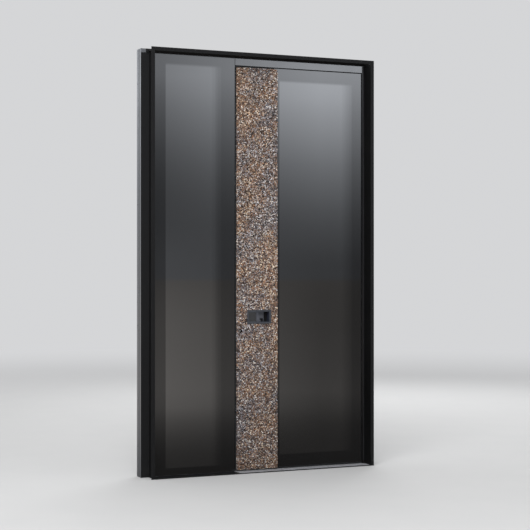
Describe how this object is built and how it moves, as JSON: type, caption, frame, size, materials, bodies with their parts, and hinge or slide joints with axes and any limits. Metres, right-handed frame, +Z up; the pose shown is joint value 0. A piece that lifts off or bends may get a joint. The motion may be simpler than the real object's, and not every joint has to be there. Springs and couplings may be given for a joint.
{
  "type": "flush aluminium front door with glazed side panel",
  "caption": "Flush inward-opening front door with dark glass, a split-stone strip and recessed grip, beside a fixed glazed side panel in a deep black reveal lining.",
  "frame": {"origin": "on the ground in the middle of the opening, in the plane of the leaf's glass, on the threshold's underside", "axes": "+X to the right seen from outside, +Y into the house, +Z up"},
  "size_m": [1.708, 0.253, 2.828],
  "materials": {
    "frame_paint": "satin",
    "lining_paint": "satin",
    "dark_glass": "gloss",
    "inner_glass": "gloss",
    "stone": "matte",
    "silver_aluminium": "satin",
    "steel": "satin",
    "plate_paint": "satin",
    "black_rubber": "matte",
    "black_plastic": "matte",
    "button_plastic": "gloss"
  },
  "bodies": {
    "frame": {"left_jamb": "frame_paint", "right_jamb": "frame_paint", "frame_head": "frame_paint", "head_strip": "frame_paint", "mullion_post": "frame_paint", "side_bottom_rail": "frame_paint", "frame_thermal_breaks": "black_plastic", "lining_left": "lining_paint", "lining_right": "lining_paint", "lining_head": "lining_paint", "lining_base": "lining_paint", "threshold_base": "black_plastic", "threshold_cover": "silver_aluminium", "side_outer_pane": "dark_glass", "side_inner_panes": "inner_glass", "side_spacer_bars": "black_plastic", "side_glazing_beads": "frame_paint", "frame_gasket": "black_rubber", "strike_plates": "steel", "top_hinge_frame_part": "steel", "middle_hinge_frame_part": "steel", "bottom_hinge_frame_part": "steel"},
    "leaf": {"lock_stile": "frame_paint", "hinge_stile": "frame_paint", "top_rail": "frame_paint", "bottom_rail": "frame_paint", "middle_stile": "frame_paint", "leaf_thermal_breaks": "black_plastic", "leaf_outer_pane": "dark_glass", "leaf_inner_panes": "inner_glass", "leaf_spacer_bars": "black_plastic", "leaf_glazing_beads": "frame_paint", "stone_facing": "stone", "stone_backing": "plate_paint", "inner_panel": "frame_paint", "grip_shell": "plate_paint", "grip_plate": "plate_paint", "grip_buttons": "button_plastic", "key_cylinder": "silver_aluminium", "cylinder_sleeve": "black_plastic", "inner_roses": "steel", "inner_lever": "steel", "lock_faceplate": "steel", "lock_bolts": "steel", "drop_seal": "black_rubber", "top_hinge_leaf_part": "steel", "middle_hinge_leaf_part": "steel", "bottom_hinge_leaf_part": "steel"}
  },
  "joints": [
    {"name": "leaf_swing", "type": "hinge", "parent": "frame", "child": "leaf", "pos_m": [0.787, 0.105, 0], "axis": [0, 0, -1], "range_deg": [0, 95]}
  ]
}
